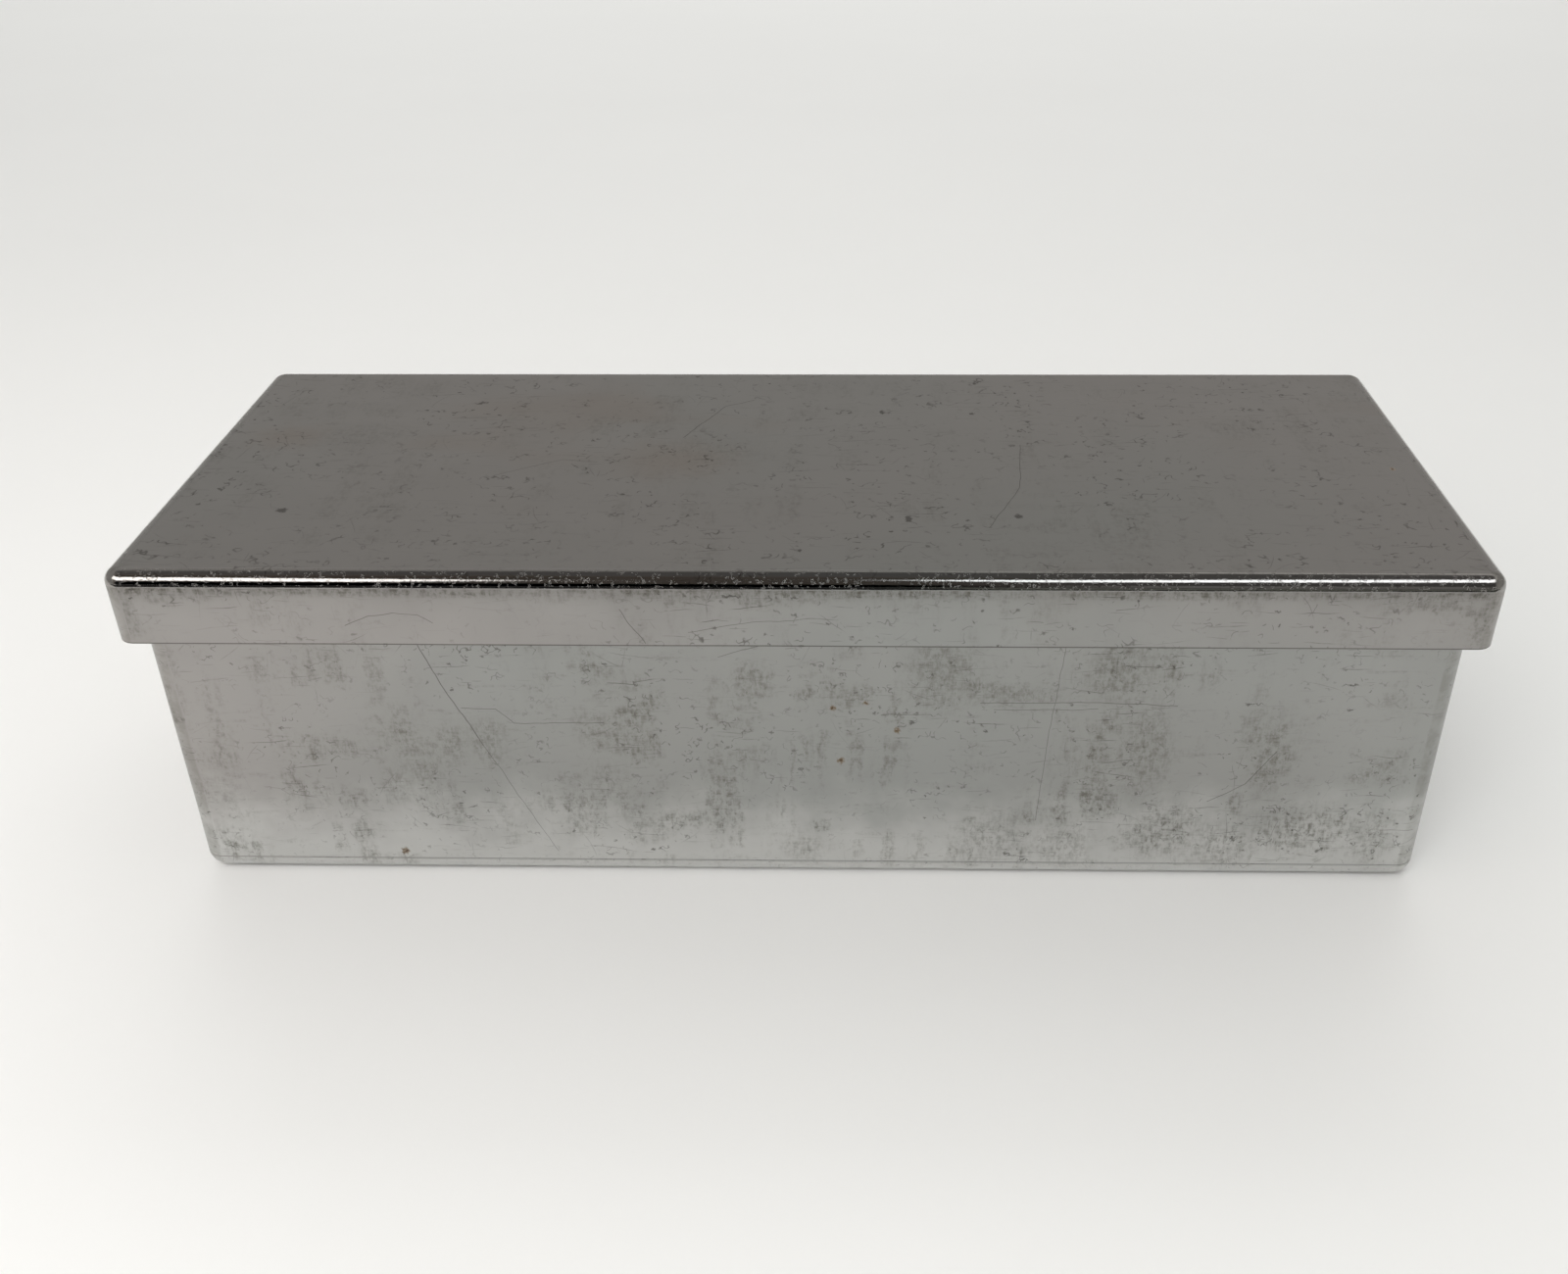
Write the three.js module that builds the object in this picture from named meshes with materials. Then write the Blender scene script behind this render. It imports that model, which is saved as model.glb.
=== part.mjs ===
// A long sheet-metal box with a loose slip-on lid.
//
// The box is made the way a tinsmith makes one: a wall strip bent round four
// corners, its top edge curled outwards over a stiffening wire, and a pressed
// bottom pan whose joggled flange is brazed inside the wall, flush with it.
// The lid is one shallow pressing that drops over the curled rim and rests on it.
//
// Millimetres. +X runs along the box, +Y across it and +Z up. The origin is the
// centre of the face that the box stands on.

import * as THREE from "three";

// Overall size, measured over the closed lid.
const LENGTH = 300;
const WIDTH = 113;
const HEIGHT = 86;

// Sheet, wire and fits.
const SHEET = 0.6;
const WIRE_RADIUS = 1;
const WIRE_CLEARANCE = 0.05; // between the wire and the curl around it
const LID_CLEARANCE = 0.4; // between the curl and the inside of the skirt
const RIM_DROP = 0.15; // the curl meets the inside of the lid's bend, this far below its top
const BRAZED_GAP = 0.1; // between the pan's flange and the wall

// Lid.
const SKIRT_DEPTH = 17.5;
const LID_BEND_RADIUS = 3; // outer radius where the top turns into the skirt
const LID_CORNER_RADIUS = 4; // outer radius of the upright corners

// Box.
const WALL_CORNER_RADIUS = 5; // outer radius of the upright corners
const PAN_BEND_RADIUS = 4.6; // outer radius where the bottom turns into the wall
const PAN_FLANGE_HEIGHT = 9; // of the flange inside the wall, above the shoulder
const STEP_ANGLE = -20; // degrees; where the pan's inside leaves the bend to step inwards
const WALL_JOINT_GAP = 0.2; // fine line between the pan's shoulder and the wall
const CURL_END_ANGLE = -120; // degrees; the sheet's edge stops just short of the wall

// Facets.
const CORNER_STEPS = 6; // per upright corner
const BEND_STEPS = 6; // per quarter bend in the lid and the pan
const CURL_STEPS = 16; // along the whole curl
const WIRE_SIDES = 12;

// Worked out from the above. An offset is measured outwards from the wall's outer face.
const CURL_INNER_RADIUS = WIRE_RADIUS + WIRE_CLEARANCE;
const CURL_OUTER_RADIUS = CURL_INNER_RADIUS + SHEET;
const RIM_HEIGHT = HEIGHT - SHEET - RIM_DROP;
const CURL_CENTRE = { offset: CURL_INNER_RADIUS, height: RIM_HEIGHT - CURL_OUTER_RADIUS };
const LID_OVERHANG = CURL_CENTRE.offset + CURL_OUTER_RADIUS + LID_CLEARANCE + SHEET;
const BOX_LENGTH = LENGTH - 2 * LID_OVERHANG;
const BOX_WIDTH = WIDTH - 2 * LID_OVERHANG;

const QUARTER = Math.PI / 2;

// Points of a rectangle with round corners, anticlockwise from above, at one height.
function ringPoints(length, width, radius, height) {
  const right = length / 2 - radius;
  const back = width / 2 - radius;
  const outline = new THREE.Shape();
  outline.absarc(right, -back, radius, -QUARTER, 0);
  outline.absarc(right, back, radius, 0, QUARTER);
  outline.absarc(-right, back, radius, QUARTER, 2 * QUARTER);
  outline.absarc(-right, -back, radius, 2 * QUARTER, 3 * QUARTER);
  const points = outline.curves
    .filter((curve) => curve.isEllipseCurve)
    .flatMap((corner) => corner.getPoints(CORNER_STEPS));
  return points.map((point) => new THREE.Vector3(point.x, point.y, height));
}

// Rings that carry a profile of { offset, height } points round the plan of a box.
function sweepRound(length, width, radius, profile) {
  return profile.map(({ offset, height }) =>
    ringPoints(length + 2 * offset, width + 2 * offset, radius + offset, height),
  );
}

// One closed surface through a list of rings. Flat caps close the first and the last
// ring, or, where capped is false, the last ring joins the first as on a hoop.
function surfaceThrough(rings, capped) {
  const around = rings[0].length;
  const positions = rings.flat().flatMap((point) => point.toArray());
  const index = [];
  const bands = capped ? rings.length - 1 : rings.length;
  for (let band = 0; band < bands; band += 1) {
    const lower = band * around;
    const upper = ((band + 1) % rings.length) * around;
    for (let step = 0; step < around; step += 1) {
      const next = (step + 1) % around;
      index.push(lower + step, lower + next, upper + next);
      index.push(lower + step, upper + next, upper + step);
    }
  }
  if (capped) {
    const last = (rings.length - 1) * around;
    for (let step = 1; step < around - 1; step += 1) {
      index.push(0, step + 1, step);
      index.push(last, last + step, last + step + 1);
    }
  }
  const geometry = new THREE.BufferGeometry();
  geometry.setAttribute("position", new THREE.Float32BufferAttribute(positions, 3));
  geometry.setIndex(index);
  geometry.computeVertexNormals();
  return geometry;
}

// Points along an arc from one angle to another, in degrees, both ends included.
// Angle 0 points outwards from the box and 90 points up.
function arcPoints(centre, radius, from, to, steps) {
  return Array.from({ length: steps + 1 }, (_, step) => {
    const angle = THREE.MathUtils.degToRad(from + ((to - from) * step) / steps);
    return {
      offset: centre.offset + radius * Math.cos(angle),
      height: centre.height + radius * Math.sin(angle),
    };
  });
}

// The lid: a flat top, a bend all round and a straight skirt, pressed in one piece.
function makeLid() {
  const bendCentre = { offset: -LID_BEND_RADIUS, height: HEIGHT - LID_BEND_RADIUS };
  const skirtEdge = HEIGHT - SKIRT_DEPTH;
  const inside = [
    ...arcPoints(bendCentre, LID_BEND_RADIUS - SHEET, 90, 0, BEND_STEPS),
    { offset: -SHEET, height: skirtEdge },
  ];
  const outside = [
    { offset: 0, height: skirtEdge },
    ...arcPoints(bendCentre, LID_BEND_RADIUS, 0, 90, BEND_STEPS),
  ];
  const rings = sweepRound(LENGTH, WIDTH, LID_CORNER_RADIUS, [...inside, ...outside]);
  return surfaceThrough(rings, true);
}

// The wall: an upright strip whose top edge curls outwards, down and back under itself.
function makeBodyWall() {
  const lowerEdge = PAN_BEND_RADIUS + WALL_JOINT_GAP;
  const outerSide = [
    { offset: 0, height: lowerEdge },
    ...arcPoints(CURL_CENTRE, CURL_INNER_RADIUS, 180, CURL_END_ANGLE, CURL_STEPS),
  ];
  const innerSide = [
    ...arcPoints(CURL_CENTRE, CURL_OUTER_RADIUS, CURL_END_ANGLE, 180, CURL_STEPS),
    { offset: -SHEET, height: lowerEdge },
  ];
  const profile = [...outerSide, ...innerSide];
  const rings = sweepRound(BOX_LENGTH, BOX_WIDTH, WALL_CORNER_RADIUS, profile);
  return surfaceThrough(rings, false);
}

// The wire inside the curl, its ends butted so that it runs all the way round.
function makeRimWire() {
  const section = arcPoints(CURL_CENTRE, WIRE_RADIUS, 0, 360, WIRE_SIDES).slice(0, -1);
  const rings = sweepRound(BOX_LENGTH, BOX_WIDTH, WALL_CORNER_RADIUS, section);
  return surfaceThrough(rings, false);
}

// The bottom pan: a flat floor, a bend up to a shoulder that is flush with the wall,
// and a flange that steps inwards there and stands inside the wall.
function makeBottomPan() {
  const bendCentre = { offset: -PAN_BEND_RADIUS, height: PAN_BEND_RADIUS };
  const flangeOuter = -SHEET - BRAZED_GAP;
  const flangeInner = flangeOuter - SHEET;
  const flangeTop = PAN_BEND_RADIUS + PAN_FLANGE_HEIGHT;
  const outside = [
    ...arcPoints(bendCentre, PAN_BEND_RADIUS, -90, 0, BEND_STEPS),
    { offset: flangeOuter, height: PAN_BEND_RADIUS },
    { offset: flangeOuter, height: flangeTop },
  ];
  const inside = [
    { offset: flangeInner, height: flangeTop },
    { offset: flangeInner, height: PAN_BEND_RADIUS },
    ...arcPoints(bendCentre, PAN_BEND_RADIUS - SHEET, STEP_ANGLE, -90, BEND_STEPS),
  ];
  const rings = sweepRound(BOX_LENGTH, BOX_WIDTH, WALL_CORNER_RADIUS, [...outside, ...inside]);
  return surfaceThrough(rings, true);
}

// Bright plated sheet, dulled by wear, and plain steel wire.
const lidMetal = new THREE.MeshStandardMaterial({
  name: "lid_metal",
  color: 0x9d9b95,
  metalness: 1,
  roughness: 0.28,
});
const boxMetal = new THREE.MeshStandardMaterial({
  name: "box_metal",
  color: 0xa3a19b,
  metalness: 1,
  roughness: 0.32,
});
const wireSteel = new THREE.MeshStandardMaterial({
  name: "wire_steel",
  color: 0x7d7b77,
  metalness: 1,
  roughness: 0.45,
});

function addPiece(group, name, geometry, material) {
  const mesh = new THREE.Mesh(geometry, material);
  mesh.name = name;
  group.add(mesh);
}

const box = new THREE.Group();
addPiece(box, "lid", makeLid(), lidMetal);
addPiece(box, "body_wall", makeBodyWall(), boxMetal);
addPiece(box, "rim_wire", makeRimWire(), wireSteel);
addPiece(box, "bottom_pan", makeBottomPan(), boxMetal);

export default box;
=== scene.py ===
import math

import bpy
import numpy as np
from mathutils import Matrix, Vector


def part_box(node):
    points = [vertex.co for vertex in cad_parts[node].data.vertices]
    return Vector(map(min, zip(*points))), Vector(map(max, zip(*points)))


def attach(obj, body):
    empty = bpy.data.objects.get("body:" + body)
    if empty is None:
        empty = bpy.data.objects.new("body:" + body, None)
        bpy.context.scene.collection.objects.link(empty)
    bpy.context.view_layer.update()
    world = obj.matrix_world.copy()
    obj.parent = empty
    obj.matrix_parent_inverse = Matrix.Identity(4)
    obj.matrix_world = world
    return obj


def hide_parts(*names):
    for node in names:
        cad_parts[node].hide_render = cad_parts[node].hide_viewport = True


# A long sheet-metal box with a slip-on lid, in worn bright plating. The CAD pieces are replaced
# one for one by finer shells of the same sections: the lid, the wall with its curled rim, the
# wire inside the curl and the bottom pan. Metres; +X along the box, +Y to the back, +Z up.

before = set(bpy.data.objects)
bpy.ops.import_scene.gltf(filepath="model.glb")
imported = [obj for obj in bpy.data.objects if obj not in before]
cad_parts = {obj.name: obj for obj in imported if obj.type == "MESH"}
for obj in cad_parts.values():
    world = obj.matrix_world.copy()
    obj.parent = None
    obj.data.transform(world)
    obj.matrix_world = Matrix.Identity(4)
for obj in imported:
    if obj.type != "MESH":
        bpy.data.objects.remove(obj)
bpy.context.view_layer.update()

MM = 0.001

# Taken from the frame.
LID_LOW, LID_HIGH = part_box("lid")
PAN_LOW, PAN_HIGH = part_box("bottom_pan")
WIRE_LOW, WIRE_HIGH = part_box("rim_wire")
LID_SIZE = LID_HIGH - LID_LOW
BOX_SIZE = PAN_HIGH - PAN_LOW
TOP = LID_HIGH.z
SKIRT_EDGE = LID_LOW.z
WIRE_RADIUS = (WIRE_HIGH.z - WIRE_LOW.z) / 2
CURL_CENTRE = (WIRE_HIGH.x - WIRE_RADIUS - PAN_HIGH.x, (WIRE_HIGH.z + WIRE_LOW.z) / 2)

# Sheet and bends, as the CAD pieces have them.
SHEET = 0.6 * MM
WIRE_CLEARANCE = 0.05 * MM
BRAZED_GAP = 0.1 * MM
LID_BEND = 3.0 * MM
LID_CORNER = 4.0 * MM
WALL_CORNER = 5.0 * MM
PAN_BEND = 4.6 * MM
STEP_ANGLE = -20  # degrees; where the pan's inside leaves its bend to step inwards
CURL_END_ANGLE = -120  # degrees; where the curled sheet ends, just short of the wall
WIRE_JOINT = 0.4 * MM  # between the wire's butted ends
BEND_EASE = 1.2 * MM  # height over which the lid's skirt starts to lean into its bend
EASE_SLOPE = 0.05

# How far use has moved the flat faces inwards, at most.
TOP_SINK = 0.14 * MM
TOP_KNOCKS = 0.08 * MM
SKIRT_DRAW = 0.16 * MM
WALL_DRAW = 0.16 * MM
WALL_KNOCKS = 0.07 * MM

# Facets of the fine shells.
CORNER_STEPS = 14
BEND_STEPS = 14
CURL_STEPS = 26
LIP_STEPS = 4
WIRE_SIDES = 20
GRID = 3.2 * MM
SUPPORT = 0.3 * MM  # a row this close to each bend keeps the flats' shading flat
LIP = 0.15 * MM  # rounding of the sheet's cut edges
JOINT_LIP = 0.03 * MM  # where the wall meets the pan
JOINT_LINE = 0.02 * MM  # the brazed line left open between them
SHARP_ANGLE = 40  # degrees; steeper edges aren't smoothed


# ---------------------------------------------------------------- sections and plans


FLAT, CUT, BENT = range(3)  # what a point of a section belongs to


def arc(centre, radius, start, end, steps, kind=BENT):
    """Points (offset, height, kind) on an arc. 0 degrees points outwards and 90 up."""
    offset, height = centre
    angles = np.radians(np.linspace(start, end, steps + 1))
    return [(offset + radius * math.cos(a), height + radius * math.sin(a), kind) for a in angles]


def stops(span):
    """Distances along a straight stretch, with a close support row at each end."""
    inner = np.linspace(SUPPORT, span - SUPPORT, max(2, round(span / GRID)))
    return [0.0, *inner, span]


def line(start, end):
    """Points (offset, height, kind) along a straight stretch, ends left to the arcs it joins."""
    start, end = np.array(start), np.array(end)
    span = np.linalg.norm(end - start)
    return [(*(start + (end - start) * s / span), FLAT) for s in stops(span)[1:-1]]


def cut_edge(outer, inner, height, up, lip=LIP, kind=CUT):
    """The rounded cut edge of an upright sheet, walked from one face to the other."""
    direction = 1 if outer > inner else -1
    middle = height - up * lip
    first = (inner + direction * lip, middle)
    second = (outer - direction * lip, middle)
    side = 180 if direction > 0 else 0
    tip = side + direction * up * -90
    far = tip + direction * up * -90
    return [
        *arc(first, lip, side, tip, LIP_STEPS, kind),
        *arc(second, lip, tip, far, LIP_STEPS, kind),
    ]


class Plan:
    """A rectangle with round corners, seen from above. Its rings all have the same number of
    points, anticlockwise from the left end of the front side."""

    def __init__(self, length, width, corner):
        self.corner = corner
        self.right = length / 2 - corner
        self.back = width / 2 - corner
        self.long = stops(2 * self.right)
        self.short = stops(2 * self.back)
        self.outline, self.outward = self.walk()
        steps = np.linalg.norm(np.roll(self.outline, -1, 0) - self.outline, axis=1)
        self.around = np.concatenate([[0.0], np.cumsum(steps)]) - self.right

    def walk(self):
        """The place and the outward direction of each point."""
        right, back = self.right, self.back
        sides = [
            ((-right, -back), (1, 0), self.long),
            ((right, -back), (0, 1), self.short),
            ((right, back), (-1, 0), self.long),
            ((-right, back), (0, -1), self.short),
        ]
        centres, outward = [], []
        for index, (begin, along, distances) in enumerate(sides):
            facing = (along[1], -along[0])
            for distance in distances[:-1]:
                centres.append((begin[0] + along[0] * distance, begin[1] + along[1] * distance))
                outward.append(facing)
            end = (begin[0] + along[0] * distances[-1], begin[1] + along[1] * distances[-1])
            for step in range(CORNER_STEPS):
                angle = math.radians(90 * (index - 1) + 90 * step / CORNER_STEPS)
                centres.append(end)
                outward.append((math.cos(angle), math.sin(angle)))
        outward = np.array(outward, float)
        return np.array(centres) + self.corner * outward, outward

    def ring(self, offset):
        return self.outline + offset * self.outward


def cap_grid(plan, offset):
    """A flat grid inside a ring, and the ring's points in the order of the grid's border."""
    inset = 2.0 * MM  # from the ring to the grid's border
    zone = 5.0 * MM  # along each border, where the grid's lines answer to the ring's corners
    half_steps = CORNER_STEPS // 2

    def lines(half_straight, distances):
        half = half_straight + plan.corner + offset - inset
        inner = half - zone
        middle = [(d - half_straight) * inner / half_straight for d in distances]
        ends = np.linspace(0, zone, half_steps + 1)[:-1]
        return np.array([*(-half + ends), *middle, *(half - ends)[::-1]])

    across = lines(plan.right, plan.long)
    deep = lines(plan.back, plan.short)
    columns, rows = len(across), len(deep)
    points = np.array([(x, y) for y in deep for x in across])
    border = [(i, 0) for i in range(columns - 1)]
    border += [(columns - 1, j) for j in range(rows - 1)]
    border += [(i, rows - 1) for i in range(columns - 1, 0, -1)]
    border += [(0, j) for j in range(rows - 1, 0, -1)]
    inner_ring = [j * columns + i for i, j in border]
    count = len(plan.outline)
    outer_ring = [(k - half_steps) % count for k in range(count)]
    cells = [
        (j * columns + i, j * columns + i + 1, (j + 1) * columns + i + 1, (j + 1) * columns + i)
        for j in range(rows - 1)
        for i in range(columns - 1)
    ]
    return points, inner_ring, outer_ring, cells


def waves(seed, shortest, longest):
    """A smooth random relief over two coordinates in metres, from 0 to 1."""
    count = 9
    rng = np.random.default_rng(seed)
    lengths = rng.uniform(shortest, longest, count)
    turns = rng.uniform(0, 2 * math.pi, count)
    phases = rng.uniform(0, 2 * math.pi, count)

    def height(a, b):
        total = sum(
            np.cos(2 * math.pi / length * (a * math.cos(turn) + b * math.sin(turn)) + phase)
            for length, turn, phase in zip(lengths, turns, phases)
        )
        return np.clip(0.5 + total / (1.6 * count), 0, 1)

    return height


def dings(seed, count, across, along):
    """Shallow round knocks, as a share of their full depth, inside a range of two coordinates."""
    rng = np.random.default_rng(seed)
    places = np.column_stack([rng.uniform(*across, count), rng.uniform(*along, count)])
    sizes = rng.uniform(3.0 * MM, 7.0 * MM, count)

    def depth(a, b):
        far = [np.hypot(a - x, b - y) / s for (x, y), s in zip(places, sizes)]
        return np.clip(sum(np.exp(-f * f) for f in far), 0, 1)

    return depth


def fade(value, start, end):
    """0 at start, 1 at end and beyond, smooth between."""
    t = np.clip((value - start) / (end - start), 0, 1)
    return t * t * (3 - 2 * t)


class Shell:
    """One sheet-metal piece: a section carried round a plan, with its unrolled coordinates.
    The section's point number anchor has the unrolled height anchor_height."""

    def __init__(self, name, plan, profile, capped, anchor, anchor_height):
        self.name = name
        self.plan = plan
        offsets, heights, kinds = (np.array(column) for column in zip(*profile))
        path = np.column_stack([offsets, heights])
        if not capped:
            path = np.vstack([path, path[0]])
        run = np.concatenate([[0.0], np.cumsum(np.linalg.norm(np.diff(path, axis=0), axis=1))])
        run += anchor_height - run[anchor]

        around = len(plan.outline)
        rings = [
            np.column_stack([plan.ring(offset), np.full(around, height)])
            for offset, height in zip(offsets, heights)
        ]
        self.points = np.vstack(rings)
        self.outward = np.tile(plan.outward, (len(rings), 1))
        self.along = np.tile(plan.around[:-1], len(rings))
        self.flat = np.zeros(len(self.points), bool)
        self.kinds = np.repeat(kinds, around)
        turning = 1.0 - np.max(np.abs(plan.outward), axis=1) > 1e-6
        self.corners = np.tile(turning, len(rings))
        self.faces = []
        self.uvs = []
        for band in range(len(rings) - 1 if capped else len(rings)):
            low = band * around
            high = ((band + 1) % len(rings)) * around
            for step in range(around):
                after = (step + 1) % around
                self.faces.append((low + step, low + after, high + after, high + step))
                left, right = plan.around[step], plan.around[step + 1]
                bottom, top = run[band], run[band + 1]
                self.uvs += [(left, bottom), (right, bottom), (right, top), (left, top)]
        if capped:
            self.cap(0, offsets[0], heights[0], run[0], upwards=False)
            last = (len(rings) - 1) * around
            self.cap(last, offsets[-1], heights[-1], run[-1], upwards=True)

    def cap(self, first, offset, height, run, upwards):
        """Closes the first or the last ring with a flat grid, unrolled on from its front side."""
        grid, inner_ring, outer_ring, cells = cap_grid(self.plan, offset)
        base = len(self.points)
        self.points = np.vstack([self.points, np.column_stack([grid, np.full(len(grid), height)])])
        self.outward = np.vstack([self.outward, np.zeros((len(grid), 2))])
        self.along = np.concatenate([self.along, grid[:, 0]])
        self.flat = np.concatenate([self.flat, np.ones(len(grid), bool)])
        self.kinds = np.concatenate([self.kinds, np.full(len(grid), FLAT)])
        self.corners = np.concatenate([self.corners, np.zeros(len(grid), bool)])
        count = len(inner_ring)
        quads = []
        for k in range(count):
            after = (k + 1) % count
            outer = (first + outer_ring[k], first + outer_ring[after])
            quads.append((*outer, base + inner_ring[after], base + inner_ring[k]))
        quads += [tuple(base + c for c in cell) for cell in cells]
        front = self.plan.back + self.plan.corner + offset
        sign = 1 if upwards else -1
        for quad in quads:
            quad = quad if upwards else quad[::-1]
            self.faces.append(quad)
            places = [self.points[corner] for corner in quad]
            self.uvs += [(x, run + sign * (y + front)) for x, y, _ in places]

    def build(self, body, node, material):
        """Makes the mesh, its unrolled map and the masks that its material reads."""
        mesh = bpy.data.meshes.new(self.name)
        mesh.from_pydata(self.points.tolist(), [], self.faces)
        layer = mesh.uv_layers.new(name="unrolled")
        layer.data.foreach_set("uv", np.array(self.uvs, np.float32).ravel())
        masks = {"bend": self.kinds == BENT, "cut_edge": self.kinds == CUT, "corner": self.corners}
        for name, mask in masks.items():
            attribute = mesh.attributes.new(name, "FLOAT", "POINT")
            attribute.data.foreach_set("value", mask.astype(np.float32))
        add_piece(self.name, mesh, body, node, material)


def add_piece(name, mesh, body, node, material):
    """Puts a finished mesh in the scene, in place of its CAD node."""
    mesh.shade_smooth()
    mesh.set_sharp_from_angle(angle=math.radians(SHARP_ANGLE))
    mesh.materials.append(material)
    piece = bpy.data.objects.new(name, mesh)
    bpy.context.scene.collection.objects.link(piece)
    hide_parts(node)
    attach(piece, body)


# ---------------------------------------------------------------- pieces


def make_lid(material):
    """One shallow pressing: a flat top, a bend all round and a straight skirt."""
    bend_centre = (-LID_BEND, TOP - LID_BEND)
    side_top = TOP - LID_BEND
    edge = cut_edge(0.0, -SHEET, SKIRT_EDGE, up=-1)
    inside = [
        (-LID_BEND - SUPPORT, TOP - SHEET, FLAT),
        *arc(bend_centre, LID_BEND - SHEET, 90, 0, BEND_STEPS),
        *line((-SHEET, side_top), (-SHEET, SKIRT_EDGE + LIP)),
    ]
    outside = [
        *line((0.0, SKIRT_EDGE + LIP), (0.0, side_top)),
        *arc(bend_centre, LID_BEND, 0, 90, BEND_STEPS),
        (-LID_BEND - SUPPORT, TOP, FLAT),
    ]
    # Outside, the skirt already leans in a little just below the bend.
    ease_start = side_top - BEND_EASE
    leans = [max(0.0, min(height - ease_start, BEND_EASE)) for _, height, _ in outside]
    runs = [max(0.0, height - side_top) for _, height, _ in outside]
    outside = [
        (offset - EASE_SLOPE * (lean * lean / (2 * BEND_EASE) + run), height, kind)
        for (offset, height, kind), lean, run in zip(outside, leans, runs)
    ]
    plan = Plan(LID_SIZE.x, LID_SIZE.y, LID_CORNER)
    anchor = len(inside) + len(edge) - 1
    shell = Shell("lid_fine", plan, [*inside, *edge, *outside], True, anchor, SKIRT_EDGE + LIP)

    # The top has sunk a little and has a few knocks, and the skirt is drawn in here and there.
    x, y, z = shell.points.T
    half_x, half_y = LID_SIZE.x / 2, LID_SIZE.y / 2
    border = np.minimum(half_x - np.abs(x), half_y - np.abs(y))
    sink = waves(3, 60 * MM, 160 * MM)(x, y) * TOP_SINK
    sink += dings(8, 7, (-half_x, half_x), (-half_y, half_y))(x, y) * TOP_KNOCKS
    z -= sink * fade(border, LID_BEND, 22 * MM) * shell.flat
    draw = waves(4, 35 * MM, 90 * MM)(shell.along, z) * SKIRT_DRAW
    draw *= fade(z, side_top, SKIRT_EDGE + 3 * MM)
    shell.points[:, :2] -= shell.outward * draw[:, None]
    shell.build("lid", "lid", material)


def make_wall(material):
    """An upright strip bent round four corners, its top edge curled outwards over the wire."""
    low = PAN_BEND + JOINT_LINE
    inner_radius = WIRE_RADIUS + WIRE_CLEARANCE
    outer_radius = inner_radius + SHEET
    under_curl = CURL_CENTRE[1]
    outer_side = line((0.0, low + JOINT_LIP), (0.0, under_curl))
    curl = [
        *arc(CURL_CENTRE, inner_radius, 180, CURL_END_ANGLE, CURL_STEPS),
        *arc(CURL_CENTRE, outer_radius, CURL_END_ANGLE, 180, CURL_STEPS),
    ]
    inner_side = line((-SHEET, under_curl), (-SHEET, low + JOINT_LIP))
    edge = cut_edge(0.0, -SHEET, low, up=-1, lip=JOINT_LIP, kind=FLAT)
    plan = Plan(BOX_SIZE.x, BOX_SIZE.y, WALL_CORNER)
    profile = [*outer_side, *curl, *inner_side, *edge]
    shell = Shell("body_wall_fine", plan, profile, False, 0, outer_side[0][1])

    # The wall is pulled in very slightly between its curled rim and its bottom joint.
    z = shell.points[:, 2]
    knocks = dings(12, 9, (-LID_SIZE.x / 2, 2 * LID_SIZE.x), (12 * MM, 60 * MM))
    draw = waves(11, 50 * MM, 130 * MM)(shell.along, z) * WALL_DRAW
    draw += knocks(shell.along, z) * WALL_KNOCKS
    draw *= fade(z, low + 2 * MM, low + 14 * MM)
    draw *= fade(z, SKIRT_EDGE + 10 * MM, SKIRT_EDGE - 4 * MM)
    shell.points[:, :2] -= shell.outward * draw[:, None]
    shell.build("box", "body_wall", material)


def make_pan(material):
    """A floor, a bend up to a shoulder that is flush with the wall, and a flange inside it."""
    bend_centre = (-PAN_BEND, PAN_BEND)
    flange_outer = -SHEET - BRAZED_GAP
    flange_inner = flange_outer - SHEET
    flange_top = PAN_HIGH.z
    shoulder = PAN_BEND
    inside_bend = arc(bend_centre, PAN_BEND - SHEET, STEP_ANGLE, -90, BEND_STEPS)
    profile = [
        (-PAN_BEND - SUPPORT, 0.0, FLAT),
        *arc(bend_centre, PAN_BEND, -90, 0, BEND_STEPS)[:-1],
        (0.0, shoulder - JOINT_LIP, FLAT),
        *arc((-JOINT_LIP, shoulder - JOINT_LIP), JOINT_LIP, 20, 90, LIP_STEPS, FLAT),
        (flange_outer, shoulder, CUT),
        *line((flange_outer, shoulder), (flange_outer, flange_top - LIP)),
        *cut_edge(flange_inner, flange_outer, flange_top, up=1),
        *line((flange_inner, flange_top - LIP), (flange_inner, shoulder)),
        (flange_inner, shoulder, CUT),
        *inside_bend,
        (-PAN_BEND - SUPPORT, SHEET, FLAT),
    ]
    plan = Plan(BOX_SIZE.x, BOX_SIZE.y, WALL_CORNER)
    shell = Shell("bottom_pan_fine", plan, profile, True, BEND_STEPS + 1, shoulder - JOINT_LIP)
    shell.build("box", "bottom_pan", material)


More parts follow.
